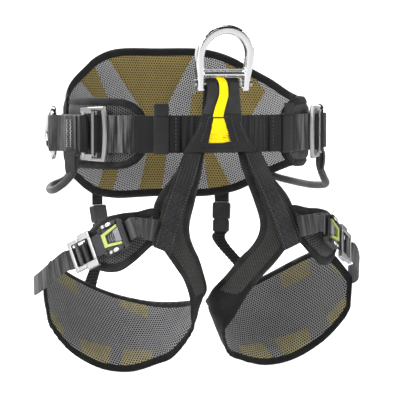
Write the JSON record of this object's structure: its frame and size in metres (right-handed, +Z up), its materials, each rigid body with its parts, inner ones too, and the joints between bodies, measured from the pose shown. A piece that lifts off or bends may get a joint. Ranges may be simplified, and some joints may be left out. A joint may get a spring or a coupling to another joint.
{
  "type": "tree climbing saddle",
  "caption": "Arborist sit harness: padded waist belt and leg loops joined at a front bridge with a ventral ring, side rings, quick buckles and gear loops.",
  "frame": {"origin": "centre of the waist loop at the belt's mid height", "axes": "+Z up, -Y the front with the ventral ring, +X the wearer's left"},
  "size_m": [0.419, 0.2789, 0.4226],
  "materials": {
    "pad_mesh": "open mesh in khaki and grey bands with a black bound edge",
    "hip_mesh": "fine black mesh with a smooth bound border",
    "belt_webbing": "woven charcoal webbing",
    "keeper_webbing": "soft black webbing",
    "buckle_steel": "satin",
    "side_ring_steel": "polished",
    "bridge_webbing": "heavy woven black webbing with grey stitching",
    "label_yellow": "smooth coated cloth",
    "ring_alloy": "satin polished",
    "screw_steel": "satin",
    "leg_band": "black fabric over foam with bound edges",
    "leg_mesh": "open grey mesh with khaki patches and a black bound edge",
    "leg_webbing": "woven charcoal webbing",
    "socket_plastic": "moulded",
    "lime_trim": "smooth",
    "lever_alloy": "satin",
    "leg_buckle_alloy": "satin polished",
    "grip_steel": "knurled",
    "clip_plastic": "moulded",
    "elastic": "ribbed elastic",
    "gear_tube": "braided sheath over a stiff tube"
  },
  "bodies": {
    "root": {"back_pad": "pad_mesh", "hip_pad_left": "hip_mesh", "hip_pad_right": "hip_mesh", "back_belt": "belt_webbing", "front_belt": "belt_webbing", "belt_tail_left": "belt_webbing", "belt_tail_right": "belt_webbing", "waist_buckle_frame_left": "buckle_steel", "waist_buckle_frame_right": "buckle_steel", "side_tab_left": "belt_webbing", "side_tab_right": "belt_webbing", "bridge_front": "bridge_webbing", "bridge_back": "bridge_webbing", "bridge_patch": "label_yellow", "rear_strap_left": "belt_webbing", "rear_strap_right": "belt_webbing", "rear_clip_socket_left": "clip_plastic", "rear_clip_socket_right": "clip_plastic", "gear_loop_left": "gear_tube", "gear_loop_right": "gear_tube"},
    "ventral_ring": {"ventral_ring": "ring_alloy", "ring_gate_bar": "screw_steel", "ring_gate_screws": "screw_steel"},
    "side_ring_left": {"side_ring_left": "side_ring_steel"},
    "waist_buckle_bar_left": {"waist_buckle_bar_left": "buckle_steel"},
    "belt_keeper_left": {"belt_keeper_left": "keeper_webbing"},
    "leg_left": {"leg_front_pad_left": "leg_band", "leg_pad_left": "leg_mesh", "buckle_pad_left": "leg_band", "leg_riser_left": "leg_webbing", "leg_socket_strap_left": "leg_webbing", "leg_buckle_socket_left": "socket_plastic", "leg_buckle_trim_left": "lime_trim", "leg_buckle_thumb_pad_left": "lever_alloy", "leg_strap_left": "leg_webbing", "leg_elastic_left": "elastic"},
    "leg_buckle_frame_left": {"leg_buckle_frame_left": "leg_buckle_alloy"},
    "leg_strap_grip_bar_left": {"leg_strap_grip_bar_left": "grip_steel"},
    "release_lever_upper_left": {"release_lever_upper_left": "lever_alloy"},
    "release_lever_lower_left": {"release_lever_lower_left": "lever_alloy"},
    "rear_clip_plug_left": {"rear_clip_plug_left": "clip_plastic"},
    "side_ring_right": {"side_ring_right": "side_ring_steel"},
    "waist_buckle_bar_right": {"waist_buckle_bar_right": "buckle_steel"},
    "belt_keeper_right": {"belt_keeper_right": "keeper_webbing"},
    "leg_right": {"leg_front_pad_right": "leg_band", "leg_pad_right": "leg_mesh", "buckle_pad_right": "leg_band", "leg_riser_right": "leg_webbing", "leg_socket_strap_right": "leg_webbing", "leg_buckle_socket_right": "socket_plastic", "leg_buckle_trim_right": "lime_trim", "leg_buckle_thumb_pad_right": "lever_alloy", "leg_strap_right": "leg_webbing", "leg_elastic_right": "elastic"},
    "leg_buckle_frame_right": {"leg_buckle_frame_right": "leg_buckle_alloy"},
    "leg_strap_grip_bar_right": {"leg_strap_grip_bar_right": "grip_steel"},
    "release_lever_upper_right": {"release_lever_upper_right": "lever_alloy"},
    "release_lever_lower_right": {"release_lever_lower_right": "lever_alloy"},
    "rear_clip_plug_right": {"rear_clip_plug_right": "clip_plastic"}
  },
  "joints": [
    {"name": "ventral_ring_tilt", "type": "hinge", "parent": "root", "child": "ventral_ring", "pos_m": [0, -0.131, 0.061], "axis": [1, 0, 0], "range_deg": [-20, 84]},
    {"name": "side_ring_left_swing", "type": "hinge", "parent": "root", "child": "side_ring_left", "pos_m": [0.177, -0.012, 0], "axis": [0, 0, -1], "range_deg": [-6, 160]},
    {"name": "waist_buckle_bar_left_slide", "type": "slide", "parent": "root", "child": "waist_buckle_bar_left", "axis": [-0.5781, -0.8159, 0], "range_m": [-0.0003, 0.0035]},
    {"name": "belt_keeper_left_slide", "type": "hinge", "parent": "root", "child": "belt_keeper_left", "pos_m": [0.046, 0, 0], "axis": [0, 0, 1], "range_deg": [0, 11]},
    {"name": "leg_loop_left_swing", "type": "hinge", "parent": "root", "child": "leg_left", "pos_m": [0, -0.125, -0.022], "axis": [1, 0, 0], "range_deg": [-12, 8], "stiffness_Nm_per_rad": 1.6, "springref_deg": 8.02, "deforming": ["leg_elastic_left"]},
    {"name": "leg_buckle_left_release", "type": "slide", "parent": "leg_left", "child": "leg_buckle_frame_left", "axis": [0.6692, 0.5993, -0.4395], "range_m": [0, 0.018], "deforming": ["leg_strap_left"]},
    {"name": "leg_strap_grip_bar_left_slide", "type": "slide", "parent": "leg_buckle_frame_left", "child": "leg_strap_grip_bar_left", "axis": [0.6692, 0.5993, -0.4395], "range_m": [-0.003, 0.0025]},
    {"name": "release_lever_upper_left_squeeze", "type": "hinge", "parent": "leg_left", "child": "release_lever_upper_left", "pos_m": [0.13984, -0.13421, -0.10164], "axis": [-0.7176, 0.6746, -0.1728], "range_deg": [0, 5], "stiffness_Nm_per_rad": 0.4},
    {"name": "release_lever_lower_left_squeeze", "type": "hinge", "parent": "leg_left", "child": "release_lever_lower_left", "pos_m": [0.13359, -0.14818, -0.1302], "axis": [0.7176, -0.6746, 0.1728], "range_deg": [0, 5], "stiffness_Nm_per_rad": 0.4},
    {"name": "rear_clip_left_release", "type": "slide", "parent": "root", "child": "rear_clip_plug_left", "axis": [-0.0963, -0.1829, -0.9784], "range_m": [0, 0.016]},
    {"name": "side_ring_right_swing", "type": "hinge", "parent": "root", "child": "side_ring_right", "pos_m": [-0.177, -0.012, 0], "axis": [0, 0, 1], "range_deg": [-6, 160]},
    {"name": "waist_buckle_bar_right_slide", "type": "slide", "parent": "root", "child": "waist_buckle_bar_right", "axis": [0.5781, -0.8159, 0], "range_m": [-0.0003, 0.0035]},
    {"name": "belt_keeper_right_slide", "type": "hinge", "parent": "root", "child": "belt_keeper_right", "pos_m": [0, 0.11306, 0], "axis": [0, 0, -1], "range_deg": [-1, 2]},
    {"name": "leg_loop_right_swing", "type": "hinge", "parent": "root", "child": "leg_right", "pos_m": [0, -0.125, -0.022], "axis": [1, 0, 0], "range_deg": [-12, 8], "stiffness_Nm_per_rad": 1.6, "springref_deg": 8.02, "deforming": ["leg_elastic_right"]},
    {"name": "leg_buckle_right_release", "type": "slide", "parent": "leg_right", "child": "leg_buckle_frame_right", "axis": [-0.6692, 0.5993, -0.4395], "range_m": [0, 0.018], "deforming": ["leg_strap_right"]},
    {"name": "leg_strap_grip_bar_right_slide", "type": "slide", "parent": "leg_buckle_frame_right", "child": "leg_strap_grip_bar_right", "axis": [-0.6692, 0.5993, -0.4395], "range_m": [-0.003, 0.0025]},
    {"name": "release_lever_upper_right_squeeze", "type": "hinge", "parent": "leg_right", "child": "release_lever_upper_right", "pos_m": [-0.13984, -0.13421, -0.10164], "axis": [-0.7176, -0.6746, 0.1728], "range_deg": [0, 5], "stiffness_Nm_per_rad": 0.4},
    {"name": "release_lever_lower_right_squeeze", "type": "hinge", "parent": "leg_right", "child": "release_lever_lower_right", "pos_m": [-0.13359, -0.14818, -0.1302], "axis": [0.7176, 0.6746, -0.1728], "range_deg": [0, 5], "stiffness_Nm_per_rad": 0.4},
    {"name": "rear_clip_right_release", "type": "slide", "parent": "root", "child": "rear_clip_plug_right", "axis": [0.0963, -0.1829, -0.9784], "range_m": [0, 0.016]}
  ],
  "couplings": [
    {"joint": "release_lever_lower_left_squeeze", "follows": "release_lever_upper_left_squeeze", "ratio": 1},
    {"joint": "release_lever_lower_right_squeeze", "follows": "release_lever_upper_right_squeeze", "ratio": 1}
  ]
}
